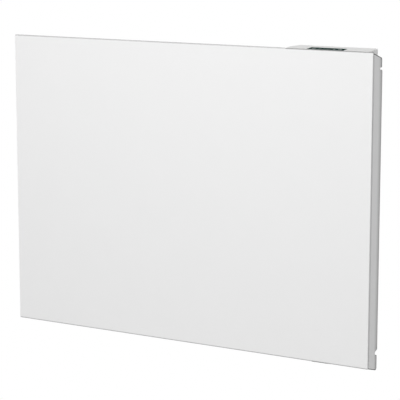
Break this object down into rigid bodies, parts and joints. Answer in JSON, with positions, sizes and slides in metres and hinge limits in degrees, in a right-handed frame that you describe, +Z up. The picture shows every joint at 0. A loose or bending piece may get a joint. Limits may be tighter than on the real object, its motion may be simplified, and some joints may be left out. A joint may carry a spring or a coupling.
{
  "type": "wall panel heater",
  "caption": "Slim flat-front electric panel heater on a steel wall bracket, with sloped top and bottom air grilles, finned element and a glass touch control box at the top right.",
  "frame": {"origin": "on the wall plane, at the middle of the wall bracket's four screw holes, level with the middle of the front panel's height", "axes": "+Z up, +X to the right seen from the room, +Y into the wall; the front faces -Y"},
  "size_m": [0.5386, 0.0594, 0.4084],
  "materials": {
    "white_paint": "satin white powder coat",
    "casing_paint": "white powder coat",
    "grille_paint": "grey powder coat",
    "zinc_steel": "zinc plated",
    "bright_aluminium": "bright rolled sheet",
    "aluminium": "as extruded",
    "ceramic": "unglazed steatite",
    "sheath_steel": "heat tinted",
    "dark_plastic": "moulded black",
    "white_plastic": "fine spark texture",
    "bead_resin": "dipped resin",
    "dark_glass": "clear over dark green-black print",
    "circuit_board": "solder mask",
    "relay_plastic": "moulded blue",
    "rocker_plastic": "gloss black",
    "brass": "plain",
    "brown_wire": "PVC insulation",
    "blue_wire": "PVC insulation",
    "glass_sleeve_wire": "woven glass sleeve",
    "bracket_paint": "white powder coat",
    "spring_steel": "bright",
    "rubber": "moulded"
  },
  "bodies": {
    "wall_bracket": {"wall_bracket": "bracket_paint", "spring_clip_left": "spring_steel", "spring_clip_right": "spring_steel", "clip_rivets": "zinc_steel", "bracket_pads": "rubber"},
    "heater": {"front_panel": "white_paint", "rear_casing": "casing_paint", "outlet_grille": "grille_paint", "inlet_grille": "grille_paint", "panel_clips": "zinc_steel", "holder_rivets": "zinc_steel", "shield_rivets": "zinc_steel", "element_holder_left": "zinc_steel", "element_holder_right": "zinc_steel", "cutout_bracket": "zinc_steel", "element_nuts": "zinc_steel", "box_screws": "zinc_steel", "board_screws": "zinc_steel", "heat_shield": "bright_aluminium", "element_fins": "aluminium", "shield_spacers": "ceramic", "element_bush_left": "ceramic", "element_bush_right": "ceramic", "element_core": "sheath_steel", "overheat_cutout": "dark_plastic", "sensor_clip": "white_plastic", "room_sensor": "bead_resin", "control_housing": "white_plastic", "control_cover": "white_plastic", "display_window": "dark_glass", "display_board": "circuit_board", "main_board": "circuit_board", "display_module": "dark_plastic", "mains_relay": "relay_plastic", "supply_transformer": "dark_plastic", "lead_connector": "white_plastic", "board_capacitors": "dark_plastic", "mains_switch": "dark_plastic", "switch_tabs": "brass", "cable_gland": "white_plastic", "gland_nut": "white_plastic", "terminal_block": "white_plastic", "block_screws": "brass", "switch_feed_lead": "brown_wire", "switched_live_lead": "brown_wire", "neutral_lead": "blue_wire", "element_lead_left": "glass_sleeve_wire", "element_lead_right": "glass_sleeve_wire", "cutout_lead": "glass_sleeve_wire"},
    "switch_rocker": {"switch_rocker": "rocker_plastic"}
  },
  "joints": [
    {"name": "heater_tilt", "type": "hinge", "parent": "wall_bracket", "child": "heater", "pos_m": [0, -0.0284, -0.155], "axis": [1, 0, 0], "range_deg": [0, 25]},
    {"name": "switch_rock", "type": "hinge", "parent": "heater", "child": "switch_rocker", "pos_m": [0.19725, -0.04328, -0.20158], "axis": [0, -0.9588, 0.284], "range_deg": [0, 14]}
  ]
}
